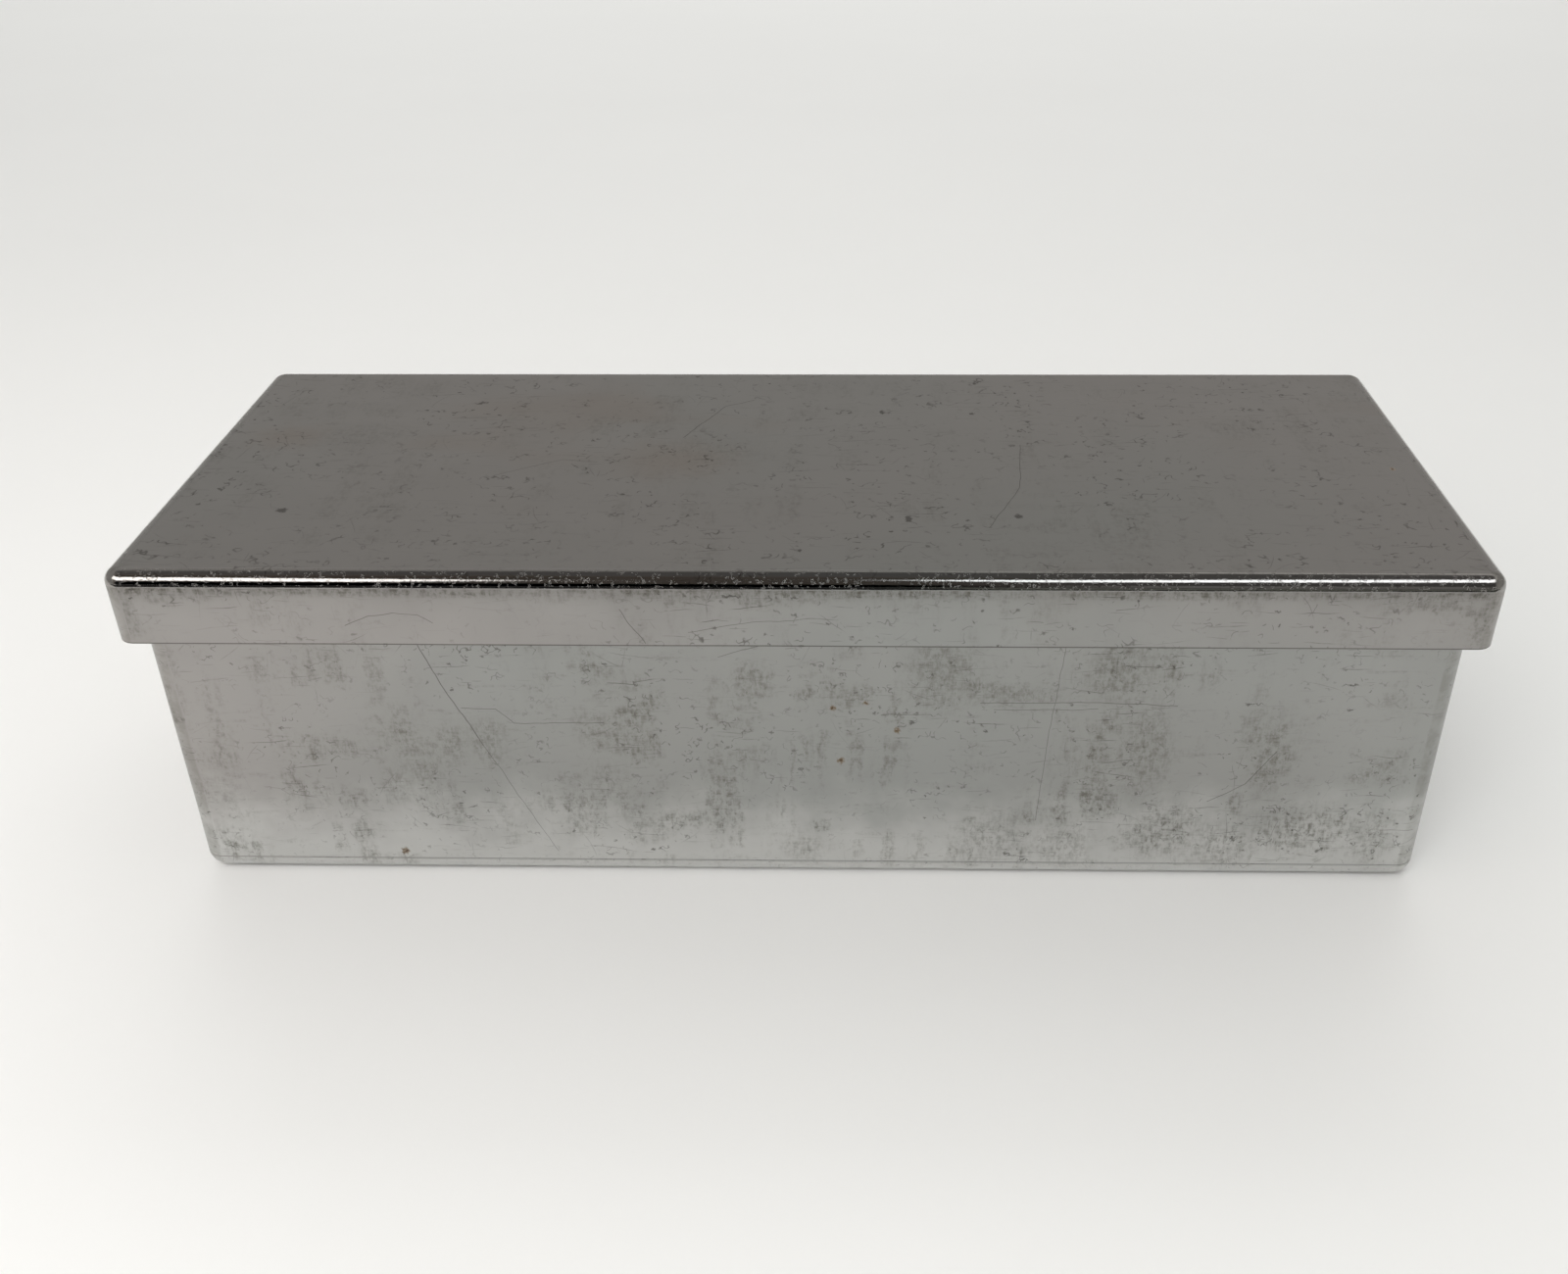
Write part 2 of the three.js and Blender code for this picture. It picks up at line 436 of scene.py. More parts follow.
def make_wire(material):
    """The stiffening wire: a round rod bent to the plan of the curl, its two ends butted behind."""
    plan = Plan(BOX_SIZE.x, BOX_SIZE.y, WALL_CORNER)
    path = plan.ring(CURL_CENTRE[0])
    start = next(i for i, p in enumerate(path) if p[1] > 0 and abs(p[0]) < GRID)
    order = np.roll(np.arange(len(path)), -start)
    path, outward = path[order], plan.outward[order]
    tangent = path[1] - path[0]
    tangent /= np.linalg.norm(tangent)
    path = np.vstack([path, path[0]])
    outward = np.vstack([outward, outward[0]])
    path[0] += tangent * WIRE_JOINT / 2
    path[-1] -= tangent * WIRE_JOINT / 2
    verts, faces = [], []
    angles = np.linspace(0, 2 * math.pi, WIRE_SIDES + 1)[:-1]
    for place, out in zip(path, outward):
        for angle in angles:
            reach = WIRE_RADIUS * math.cos(angle)
            verts.append((*(place + out * reach), CURL_CENTRE[1] + WIRE_RADIUS * math.sin(angle)))
    last = (len(path) - 1) * WIRE_SIDES
    for low in range(0, last, WIRE_SIDES):
        high = low + WIRE_SIDES
        for side in range(WIRE_SIDES):
            after = (side + 1) % WIRE_SIDES
            faces.append((low + side, high + side, high + after, low + after))
    faces.append(tuple(range(WIRE_SIDES)))
    faces.append(tuple(last + side for side in reversed(range(WIRE_SIDES))))
    mesh = bpy.data.meshes.new("rim_wire_fine")
    mesh.from_pydata(verts, [], faces)
    add_piece("rim_wire_fine", mesh, "box", "rim_wire", material)


# ---------------------------------------------------------------- materials


class Nodes:
    """Short ways to lay out one node tree."""

    def __init__(self, tree):
        self.tree = tree
        self.tree.nodes.clear()

    def node(self, kind, inputs=None, **settings):
        made = self.tree.nodes.new(kind)
        for key, value in settings.items():
            setattr(made, key, value)
        for socket, value in (inputs or {}).items():
            if isinstance(value, bpy.types.NodeSocket):
                self.tree.links.new(value, made.inputs[socket])
            else:
                made.inputs[socket].default_value = value
        return made

    def math(self, operation, first, second=0.0, third=0.0):
        given = {0: first, 1: second, 2: third}
        return self.node("ShaderNodeMath", given, operation=operation).outputs[0]

    def vector(self, operation, first, second=(0.0, 0.0, 0.0), third=(0.0, 0.0, 0.0)):
        given = {0: first, 1: second, 2: third}
        made = self.node("ShaderNodeVectorMath", given, operation=operation)
        single = operation in ("LENGTH", "DOT_PRODUCT", "DISTANCE")
        return made.outputs["Value" if single else "Vector"]

    def ramp(self, value, low, high, start=0.0, end=1.0):
        """Smooth change from start to end as value goes from low to high."""
        given = {"Value": value, "From Min": low, "From Max": high, "To Min": start, "To Max": end}
        made = self.node("ShaderNodeMapRange", given, interpolation_type="SMOOTHSTEP")
        return made.outputs["Result"]

    def blend(self, factor, first, second):
        """A colour between two, the first where factor is 0."""
        given = {0: factor, 6: first, 7: second}
        return self.node("ShaderNodeMix", given, data_type="RGBA").outputs[2]

    def most(self, *values):
        result = values[0]
        for value in values[1:]:
            result = self.math("MAXIMUM", result, value)
        return result

    def product(self, *values):
        result = values[0]
        for value in values[1:]:
            result = self.math("MULTIPLY", result, value)
        return result


class Shader(Nodes):
    """A material's node tree, with the textures and shapes that its layers are made of."""

    def __init__(self, name):
        self.material = bpy.data.materials.new(name)
        self.material.use_nodes = True
        super().__init__(self.material.node_tree)
        self.solid = self.node("ShaderNodeTexCoord").outputs["Object"]

    def surface(self, **sockets):
        given = {name.replace("_", " "): value for name, value in sockets.items()}
        shader = self.node("ShaderNodeBsdfPrincipled", given)
        self.node("ShaderNodeOutputMaterial", {"Surface": shader.outputs[0]})

    def bump(self, relief, strength=1.0):
        """A normal from a relief in metres."""
        given = {"Strength": strength, "Distance": 1.0, "Height": relief}
        return self.node("ShaderNodeBump", given).outputs[0]

    def noise(self, place, scale, detail=3.0, rough=0.5, stretch=(1, 1, 1), shift=0.0):
        mapping = {"Vector": place, "Scale": stretch, "Location": (shift,) * 3}
        moved = self.node("ShaderNodeMapping", mapping).outputs[0]
        given = {"Vector": moved, "Scale": scale, "Detail": detail, "Roughness": rough}
        return self.node("ShaderNodeTexNoise", given).outputs["Fac"]

    def shaken(self, place, amount, scale, detail, rough):
        """A place moved about within the sheet by a noise, by up to half of amount."""
        given = {"Vector": place, "Scale": scale, "Detail": detail, "Roughness": rough}
        noise = self.node("ShaderNodeTexNoise", given).outputs["Color"]
        centred = self.vector("SUBTRACT", noise, (0.5, 0.5, 0.5))
        return self.vector("MULTIPLY_ADD", centred, (amount, amount, 0.0), place)

    def scattered(self, place, cell, shift):
        """The offset from the nearest point of a scattered net, and its three random numbers."""
        shifted = self.vector("ADD", place, shift)
        given = {"Vector": shifted, "Scale": 1 / cell}
        cells = self.node("ShaderNodeTexVoronoi", given, voronoi_dimensions="2D", feature="F1")
        offset = self.vector("SUBTRACT", shifted, cells.outputs["Position"])
        chance = self.node("ShaderNodeSeparateColor", {"Color": cells.outputs["Color"]}).outputs
        return offset, chance[0], chance[1], chance[2]

    def hairlines(self, place, seed, cell, length, width, share, angle, spread, bow=8.0):
        """Short thin scratches, at most one in each cell of a scattered net. Their directions
        are spread over spread radians about angle, and a larger bow bends them more."""
        local, red, green, blue = self.scattered(place, cell, (seed * 0.37, seed * 0.61, 0.0))
        turn = self.math("MULTIPLY_ADD", red, spread, angle - spread / 2)
        given = {"Vector": local, "Angle": turn}
        turned = self.node("ShaderNodeVectorRotate", given, rotation_type="Z_AXIS").outputs[0]
        parts = self.node("ShaderNodeSeparateXYZ", {"Vector": turned}).outputs
        along = parts["X"]
        bend = self.math("MULTIPLY_ADD", green, 2 * bow, -bow)
        curve = self.product(along, along, bend)
        across = self.math("ABSOLUTE", self.math("ADD", parts["Y"], curve))
        reach = self.math("MULTIPLY_ADD", blue, length * 0.35, length * 0.15)
        thin = self.ramp(across, width * 0.1, width * 0.75, 1.0, 0.0)
        share_along = self.math("DIVIDE", self.math("ABSOLUTE", along), reach)
        inside = self.ramp(share_along, 0.3, 1.0, 1.0, 0.0)
        pick = self.math("FRACT", self.product(self.math("ADD", red, blue), 7.31))
        return self.product(thin, inside, self.math("LESS_THAN", pick, share))

    def specks(self, place, seed, cell, size, share):
        """Small round pits, at most one in each cell."""
        offset, red, green, _ = self.scattered(place, cell, (seed * 0.53, seed * 0.29, 0.0))
        radius = self.math("MULTIPLY_ADD", red, size * 0.7, size * 0.3)
        apart = self.math("DIVIDE", self.vector("LENGTH", offset), radius)
        round_spot = self.ramp(apart, 0.6, 1.0, 1.0, 0.0)
        return self.product(round_spot, self.math("LESS_THAN", green, share))

    def stroke(self, place, points, width):
        """One long scratch along a chain of points, in unrolled coordinates."""
        pieces = []
        for start, end in zip(points, points[1:]):
            start, end = Vector((*start, 0)), Vector((*end, 0))
            run = end - start
            offset = self.vector("SUBTRACT", place, start)
            share = self.product(self.vector("DOT_PRODUCT", offset, run), 1 / run.length_squared)
            share = self.node("ShaderNodeClamp", {"Value": share}).outputs[0]
            given = {0: run, "Scale": share}
            nearest = self.node("ShaderNodeVectorMath", given, operation="SCALE").outputs[0]
            apart = self.vector("DISTANCE", offset, nearest)
            pieces.append(self.ramp(apart, width * 0.3, width * 0.65, 1.0, 0.0))
        return self.most(*pieces)

    def blot(self, place, centre, size, soft):
        """A soft-edged spot; size is its half width and half height."""
        offset = self.vector("SUBTRACT", place, (*centre, 0.0))
        scaled = self.vector("DIVIDE", offset, (*size, 1.0))
        return self.ramp(self.vector("LENGTH", scaled), 1 - soft, 1 + soft, 1.0, 0.0)


class Marks:
    """The listed marks of one piece, in unrolled coordinates."""

    def __init__(self, scratches=(), spots=(), smudges=(), blushes=(), rust=()):
        self.scratches = scratches  # (chain of points, width)
        self.spots = spots  # (centre, (half width, half height))
        self.smudges = smudges  # (centre, (half width, half height), strength)
        self.blushes = blushes  # (centre, (half width, half height))
        self.rust = rust  # (centre, radius)


# The plating's colours, from clean metal to rust.
TONE = (0.362, 0.370, 0.358, 1)
TONE_WARM = (0.384, 0.368, 0.356, 1)
# a lighter colour for the painted reflection of the bright floor on the lower body
PAINTED_FLOOR_REFLECTION = (0.600, 0.602, 0.588, 1)
# stains, and also the painted shade on the upright corners
STAIN_AND_SHADE = (0.176, 0.170, 0.145, 1)
BLUSH = (0.358, 0.316, 0.284, 1)
# grime in scratches and pits, and also the painted shade along the seam under the lid's skirt
GRIME_AND_SHADE = (0.070, 0.064, 0.054, 1)
RUST = (0.170, 0.105, 0.040, 1)
RUST_CORE = (0.040, 0.020, 0.010, 1)
BEND_ROUGHNESS = 0.10  # of the bends, which handling has polished


class PlatedMetal(Shader):
    """Bright plating dulled by handling: blotches, hairlines, pits and a few long scratches."""

    def __init__(self, name, seed, marks):
        super().__init__(name)
        self.seed = seed
        self.marks = marks
        self.unrolled = self.node("ShaderNodeUVMap", uv_map="unrolled").outputs["UV"]
        self.height = self.node("ShaderNodeSeparateXYZ", {"Vector": self.unrolled}).outputs["Y"]
        self.bend = self.mask("bend")
        # Unrolled places that are shaken more or less finely, so that no mark has a clean edge.
        self.hand = self.shaken(self.unrolled, 1.1 * MM, scale=140, detail=2, rough=0.5)
        self.frayed = self.shaken(self.unrolled, 6 * MM, scale=150, detail=5, rough=0.7)
        self.ragged = self.shaken(self.unrolled, 14 * MM, scale=150, detail=5, rough=0.7)
        self.torn = self.shaken(self.unrolled, 2.2 * MM, scale=1200, detail=3, rough=0.6)
        busy = self.noise(self.unrolled, 32, 3, 0.6, shift=seed + 9)
        self.busy = self.ramp(busy, 0.40, 0.58, 0.20, 1.0)

    def mask(self, name):
        return self.node("ShaderNodeAttribute", attribute_name=name).outputs["Fac"]

    def stains(self, amount, dark_band):
        """Soft blotches with upright sides, in clusters, mottled and very finely woven inside."""
        seed, sheet = self.seed, self.unrolled
        clusters = self.noise(self.solid, 20, 2, 0.5, shift=seed)
        columns = self.noise(self.frayed, 140, 3, 0.65, (1, 0.10, 1), seed)
        rows = self.noise(self.frayed, 120, 4, 0.65, (0.30, 0.60, 1), seed + 8)
        wisps = self.noise(sheet, 260, 4, 0.7, (0.16, 1, 1), seed + 3)
        blotches = self.product(
            self.ramp(clusters, 0.34, 0.52, 0.12, 1.0),
            self.ramp(columns, 0.46, 0.60),
            self.ramp(rows, 0.43, 0.60),
        )
        spread = self.most(blotches, self.ramp(wisps, 0.56, 0.70, 0.0, 0.45))
        parts = [self.product(spread, amount)]
        if dark_band:
            parts.append(self.band(*dark_band))
        for centre, size, strength in self.marks.smudges:
            parts.append(self.product(self.blot(self.ragged, centre, size, 0.7), strength))
        mottle = self.noise(sheet, 700, 4, 0.75, (1, 0.6, 1), seed + 6)
        weft = self.noise(sheet, 1500, 2, 0.6, (0.20, 1, 1), seed)
        warp = self.noise(sheet, 1500, 2, 0.6, (1, 0.20, 1), seed)
        return self.product(
            self.most(*parts),
            self.ramp(mottle, 0.40, 0.60, 0.12, 1.0),
            self.ramp(weft, 0.38, 0.60, 0.60, 1.0),
            self.ramp(warp, 0.38, 0.60, 0.50, 1.0),
        )

    def band(self, low, high):
        """A patchy darker band on the flat face under a bend. It sets in between two unrolled
        heights.
        """
        patchy = self.noise(self.unrolled, 45, 3, 0.6, (0.5, 2, 1), self.seed)
        return self.product(
            self.ramp(self.height, low, high),
            self.ramp(self.height, high + 5 * MM, high + 6 * MM, 1.0, 0.0),
            self.ramp(self.bend, 0.0, 0.5, 1.0, 0.0),
            self.ramp(patchy, 0.36, 0.56, 0.50, 1.0),
        )

    def blush(self, amount):
        """Warm, very soft patches, some of them placed."""
        cloud = self.noise(self.solid, 14, 3, 0.55, (0.6, 1, 1), self.seed + 7)
        placed = [self.blot(self.ragged, centre, size, 0.8) for centre, size in self.marks.blushes]
        return self.product(self.most(self.ramp(cloud, 0.60, 0.74), *placed), amount)

    def scratches(self, squiggle_scale, squiggle_widths):
        """Short ones of every kind, and the long ones that are listed. The squiggles follow the
        level lines of a noise; their widths are for the sides and for the top."""
        seed, hand, sheet = self.seed, self.hand, self.unrolled
        level_lines = self.hairlines(
            hand, seed, cell=9 * MM, length=16 * MM, width=0.18 * MM, share=0.40,
            angle=0.0, spread=0.35,
        )
        level_faint = self.hairlines(
            hand, seed + 5, cell=5 * MM, length=8 * MM, width=0.16 * MM, share=0.50,
            angle=0.0, spread=0.20,
        )
        crossing = self.hairlines(
            hand, seed + 1, cell=10 * MM, length=11 * MM, width=0.18 * MM, share=0.60,
            angle=0.0, spread=3.1, bow=40.0,
        )
        nicks = self.hairlines(
            self.torn, seed + 2, cell=4 * MM, length=2.4 * MM, width=0.44 * MM, share=0.22,
            angle=0.1, spread=1.6,
        )
        winding = self.noise(sheet, squiggle_scale, 2, 0.6, shift=seed + 11)
        winding = self.math("ABSOLUTE", self.math("SUBTRACT", winding, 0.5))
        width = self.ramp(self.height, TOP - LID_BEND, TOP + LID_BEND, *squiggle_widths)
        pieces = self.noise(sheet, squiggle_scale * 1.3, 2, 0.6, shift=seed + 13)
        pieces = self.ramp(pieces, 0.53, 0.58)
        squiggles = self.product(self.ramp(winding, 0.0, width, 1.0, 0.0), pieces)
        faint = self.product(self.most(level_faint, crossing), 0.6)
        worn_through = self.noise(sheet, 420, 2, 0.5, shift=seed)
        worn_through = self.ramp(worn_through, 0.34, 0.56, 0.45, 1.0)
        fine = self.most(level_lines, faint, squiggles, nicks)
        fine = self.product(fine, self.busy, worn_through)
        long_ones = [self.stroke(hand, chain, width) for chain, width in self.marks.scratches]
        return self.most(fine, *long_ones)

    def pits(self, share):
        small = self.specks(self.torn, self.seed, cell=6 * MM, size=0.50 * MM, share=share)
        placed = [self.blot(self.torn, centre, size, 0.35) for centre, size in self.marks.spots]
        return self.most(self.product(small, self.busy), *placed)

    def rust(self, share, soft):
        """The placed rust spots, each out to this share of its radius."""
        spots = [
            self.blot(self.torn, centre, (radius * share, radius * share), soft)
            for centre, radius in self.marks.rust
        ]
        return self.most(*spots)

    def relief(self, marks):
        """In metres: an uneven skin, knocks and dents along the bends, and the marks' grooves."""
        seed = self.seed
        skin = self.product(self.noise(self.solid, 240, 3, 0.5, shift=seed), 0.012 * MM)
        knocks = self.product(self.noise(self.solid, 650, 3, 0.6, shift=seed + 1), 0.030 * MM)
        dents = self.specks(self.torn, seed + 4, cell=0.9 * MM, size=0.36 * MM, share=0.50)
        knocks = self.math("MULTIPLY_ADD", dents, -0.034 * MM, knocks)
        knocked = self.noise(self.solid, 60, 2, 0.5, shift=seed + 3)
        knocked = self.ramp(knocked, 0.38, 0.54, 0.10, 1.0)
        knocks = self.product(knocks, knocked, self.ramp(self.bend, 0.6, 1.0))
        grooves = self.product(marks, -0.003 * MM)
        return self.math("ADD", self.math("ADD", skin, knocks), grooves)


def plated_metal(
    name, seed, marks, flat_roughness, stain_amount, blush_amount, pit_share,
    squiggle_scale, squiggle_widths, dark_band=None, painted_reflection_below=None,
):
    """The worn plating of one piece. Below a given unrolled height, a brighter reflection
    of the floor is painted into its colour.
    """
    s = PlatedMetal(name, seed, marks)
    stains = s.stains(stain_amount, dark_band)
    scratches = s.scratches(squiggle_scale, squiggle_widths)
    pits = s.pits(pit_share)
    halo = s.rust(share=1.0, soft=0.45)
    core = s.rust(share=0.45, soft=0.5)
    # Painted shade: the upright corners are darkened in patches, with the stain colour.
    painted_corner_shade = s.ramp(s.noise(s.unrolled, 160, 3, 0.6, shift=seed), 0.40, 0.60, 0.15, 0.55)

    warmth = s.ramp(s.noise(s.solid, 5, 2, 0.5, shift=seed + 5), 0.35, 0.65)
    colour = s.blend(warmth, TONE, TONE_WARM)
    # Painted reflection: low down the colour is blended towards a lighter one, for the bright floor
    # that the lower body reflects.
    if painted_reflection_below is not None:
        uneven = s.noise(s.unrolled, 70, 3, 0.6, shift=seed)
        uneven = s.math("MULTIPLY_ADD", uneven, 24 * MM, s.height)
        painted_reflection = s.ramp(uneven, painted_reflection_below - 2 * MM, painted_reflection_below + 26 * MM, 1.0, 0.0)
        colour = s.blend(painted_reflection, colour, PAINTED_FLOOR_REFLECTION)
    layers = [
        (s.blush(blush_amount), 1.0, BLUSH),
        (stains, 1.0, STAIN_AND_SHADE),
        (s.product(s.mask("corner"), painted_corner_shade), 0.6, STAIN_AND_SHADE),
        # The sheet's cut edges are darkened: grime, and also painted shade along the seam under the
        # lid's skirt.
        (s.mask("cut_edge"), 0.85, GRIME_AND_SHADE),
        (scratches, 0.62, GRIME_AND_SHADE),
        (pits, 0.6, GRIME_AND_SHADE),
        (halo, 0.8, RUST),
        (core, 0.8, RUST_CORE),
    ]
    for layer, strength, tint in layers:
        colour = s.blend(s.product(layer, strength), colour, tint)

    cloud = s.noise(s.solid, 60, 4, 0.6, shift=seed + 2)
    rough = s.ramp(cloud, 0.3, 0.7, flat_roughness - 0.02, flat_roughness + 0.04)
    polish = s.ramp(s.bend, 0.6, 1.0, 0.0, flat_roughness - BEND_ROUGHNESS)
    rough = s.math("SUBTRACT", rough, polish)
    rough = s.math("MULTIPLY_ADD", s.most(stains, pits), 0.16, rough)
    rough = s.math("MULTIPLY_ADD", scratches, 0.10, rough)

    normal = s.bump(s.relief(s.most(scratches, pits)))
    metallic = s.math("SUBTRACT", 1.0, s.product(halo, 0.7))
    s.surface(Base_Color=colour, Metallic=metallic, Roughness=rough, Normal=normal)
    return s.material


def drawn_wire():
    """Plain drawn steel, with lines along the wire and a little brown in the hollows."""
    s = Shader("drawn_steel_wire")
    cloud = s.noise(s.solid, 90, 4, 0.6)
    lines = s.noise(s.solid, 1500, 2, 0.5, stretch=(0.05, 0.05, 1))
    brown = s.ramp(s.noise(s.solid, 200, 4, 0.65, shift=2), 0.52, 0.72, 0.0, 0.6)
    colour = s.blend(cloud, (0.30, 0.29, 0.27, 1), (0.46, 0.45, 0.43, 1))
    colour = s.blend(brown, colour, (0.13, 0.08, 0.045, 1))
    rough = s.math("MULTIPLY_ADD", brown, 0.3, s.ramp(cloud, 0.3, 0.7, 0.34, 0.46))
    normal = s.bump(s.product(lines, 0.006 * MM))
    s.surface(Base_Color=colour, Metallic=1.0, Roughness=rough, Normal=normal)
    return s.material


def on_front(across, down):
    """A place on the box's front: 0 to 1 from left to right, and from the skirt's edge down."""
    return ((across - 0.5) * BOX_SIZE.x, SKIRT_EDGE * (1 - down))


BODY_MARKS = Marks(
    scratches=[
        ([on_front(0.207, 0.000), on_front(0.226, 0.212), on_front(0.246, 0.405)], 0.22 * MM),
        ([on_front(0.246, 0.405), on_front(0.270, 0.637), on_front(0.298, 0.897)], 0.12 * MM),
        ([on_front(0.236, 0.280), on_front(0.263, 0.289), on_front(0.276, 0.343)], 0.15 * MM),
        ([on_front(0.276, 0.343), on_front(0.345, 0.338)], 0.15 * MM),
        ([on_front(0.638, 0.253), on_front(0.713, 0.246), on_front(0.788, 0.259)], 0.16 * MM),
        ([on_front(0.648, 0.280), on_front(0.728, 0.273)], 0.12 * MM),
        ([on_front(0.700, 0.000), on_front(0.692, 0.367), on_front(0.686, 0.743)], 0.11 * MM),
        ([on_front(0.822, 0.656), on_front(0.850, 0.579), on_front(0.870, 0.439)], 0.16 * MM),
        ([on_front(0.438, 0.077), on_front(0.478, 0.021), on_front(0.528, 0.008)], 0.13 * MM),
    ],
    spots=[
        (on_front(0.917, 0.174), (1.6 * MM, 0.22 * MM)),
        (on_front(0.847, 0.251), (2.2 * MM, 0.18 * MM)),
        (on_front(0.921, 0.270), (0.9 * MM, 0.22 * MM)),
        (on_front(0.560, 0.270), (0.35 * MM, 0.35 * MM)),
        (on_front(0.586, 0.333), (0.8 * MM, 0.35 * MM)),
        (on_front(0.379, 0.637), (0.3 * MM, 0.3 * MM)),
    ],
    smudges=[
        (on_front(0.524, 0.212), (1.2 * MM, 5.0 * MM), 0.7),
        (on_front(0.550, 0.212), (1.4 * MM, 2.6 * MM), 0.7),
        (on_front(0.574, 0.270), (1.2 * MM, 5.5 * MM), 0.7),
        (on_front(0.608, 0.135), (7.0 * MM, 9.0 * MM), 0.7),
        (on_front(0.648, 0.212), (13.0 * MM, 2.6 * MM), 0.7),
        (on_front(0.743, 0.116), (7.0 * MM, 8.0 * MM), 0.7),
        (on_front(0.768, 0.434), (5.0 * MM, 11.0 * MM), 0.7),
        (on_front(0.868, 0.463), (4.0 * MM, 10.0 * MM), 0.8),
        (on_front(0.788, 0.791), (9.0 * MM, 7.0 * MM), 0.8),
        (on_front(0.898, 0.772), (10.0 * MM, 6.0 * MM), 0.8),
        (on_front(0.838, 0.850), (7.0 * MM, 6.0 * MM), 0.7),
        (on_front(0.712, 0.850), (6.0 * MM, 6.0 * MM), 0.6),
        (on_front(0.958, 0.800), (5.0 * MM, 8.0 * MM), 0.6),
        (on_front(0.653, 0.811), (8.0 * MM, 6.0 * MM), 0.55),
        (on_front(0.198, 0.540), (5.0 * MM, 9.0 * MM), 0.5),
        (on_front(0.190, 0.405), (3.5 * MM, 7.0 * MM), 0.7),
        (on_front(0.222, 0.435), (3.0 * MM, 6.0 * MM), 0.6),
        (on_front(0.252, 0.415), (4.0 * MM, 6.0 * MM), 0.6),
        (on_front(0.173, 0.600), (3.0 * MM, 5.0 * MM), 0.5),
        (on_front(0.343, 0.590), (5.0 * MM, 5.0 * MM), 0.45),
        (on_front(0.318, 0.755), (3.0 * MM, 4.0 * MM), 0.6),
        (on_front(0.398, 0.745), (10.0 * MM, 2.6 * MM), 0.7),
        (on_front(0.498, 0.870), (5.0 * MM, 4.0 * MM), 0.6),
        (on_front(0.012, 0.193), (2.5 * MM, 12.0 * MM), 0.5),
    ],
    rust=[
        (on_front(0.524, 0.275), 0.60 * MM),
        (on_front(0.550, 0.253), 0.55 * MM),
        (on_front(0.574, 0.364), 0.70 * MM),
        (on_front(0.530, 0.492), 0.75 * MM),
        (on_front(0.171, 0.897), 0.90 * MM),
    ],
)

SKIRT = TOP - SKIRT_EDGE
LID_TOP_RUN = TOP - LID_BEND + LID_BEND * math.pi / 2  # unrolled height where the top begins


def on_skirt(across, down):
    """A place on the lid's front skirt: 0 to 1 from left to right and from the bend downwards."""
    return ((across - 0.5) * LID_SIZE.x, SKIRT_EDGE + (SKIRT - LID_BEND) * (1 - down))


def on_top(across, back):
    """A place on the lid's top: 0 to 1 from left to right and from front to back."""
    return ((across - 0.5) * LID_SIZE.x, LID_TOP_RUN + (LID_SIZE.y - 2 * LID_BEND) * back)


LID_MARKS = Marks(
    scratches=[
        ([on_skirt(0.372, 0.35), on_skirt(0.388, 0.95)], 0.15 * MM),
        ([on_skirt(0.420, 0.75), on_skirt(0.470, 0.55), on_skirt(0.500, 0.52)], 0.12 * MM),
        ([on_skirt(0.172, 0.66), on_skirt(0.190, 0.48), on_skirt(0.208, 0.43)], 0.15 * MM),
        ([on_skirt(0.208, 0.43), on_skirt(0.226, 0.46), on_skirt(0.236, 0.60)], 0.12 * MM),
        ([on_top(0.395, 0.62), on_top(0.425, 0.80), on_top(0.450, 0.84)], 0.20 * MM),
        ([on_top(0.640, 0.18), on_top(0.668, 0.36), on_top(0.676, 0.58)], 0.16 * MM),
        ([on_top(0.250, 0.42), on_top(0.300, 0.50), on_top(0.330, 0.49)], 0.14 * MM),
    ],
    spots=[
        (on_top(0.580, 0.22), (0.7 * MM, 1.5 * MM)),
        (on_top(0.663, 0.23), (0.9 * MM, 1.0 * MM)),
        (on_top(0.562, 0.77), (0.6 * MM, 1.2 * MM)),
        (on_top(0.640, 0.76), (0.5 * MM, 0.8 * MM)),
        (on_top(0.500, 0.08), (0.4 * MM, 0.7 * MM)),
        (on_top(0.100, 0.25), (1.2 * MM, 1.0 * MM)),
        (on_skirt(0.452, 0.12), (2.2 * MM, 0.25 * MM)),
        (on_skirt(0.497, 0.14), (0.8 * MM, 0.25 * MM)),
    ],
    smudges=[
        (on_top(0.420, 0.55), (14.0 * MM, 7.0 * MM), 0.25),
        (on_top(0.120, 0.62), (11.0 * MM, 6.0 * MM), 0.25),
        (on_skirt(0.430, 0.10), (34.0 * MM, 1.8 * MM), 0.6),
        (on_skirt(0.010, 0.50), (2.6 * MM, 7.0 * MM), 0.7),
        (on_skirt(0.050, 0.15), (10.0 * MM, 1.6 * MM), 0.5),
        (on_skirt(0.955, 0.30), (12.0 * MM, 2.0 * MM), 0.6),
        (on_skirt(0.985, 0.50), (3.0 * MM, 7.0 * MM), 0.7),
    ],
    blushes=[
        (on_top(0.391, 0.50), (13.0 * MM, 9.0 * MM)),
        (on_top(0.061, 0.62), (8.0 * MM, 6.0 * MM)),
    ],
    rust=[(on_top(0.968, 0.46), 0.6 * MM)],
)


# ---------------------------------------------------------------- studio


CAMERA_PLACE = (0.0133, -0.3260, 0.2443)
CAMERA_PITCH = 30.46  # degrees, downwards
CAMERA_YAW = -1.38  # degrees, to the left
CAMERA_ROLL = -0.49  # degrees
CAMERA_LENS = 34.04  # mm, for a sensor 36 mm wide
CAMERA_SHIFT = (-0.0294, -0.0372)


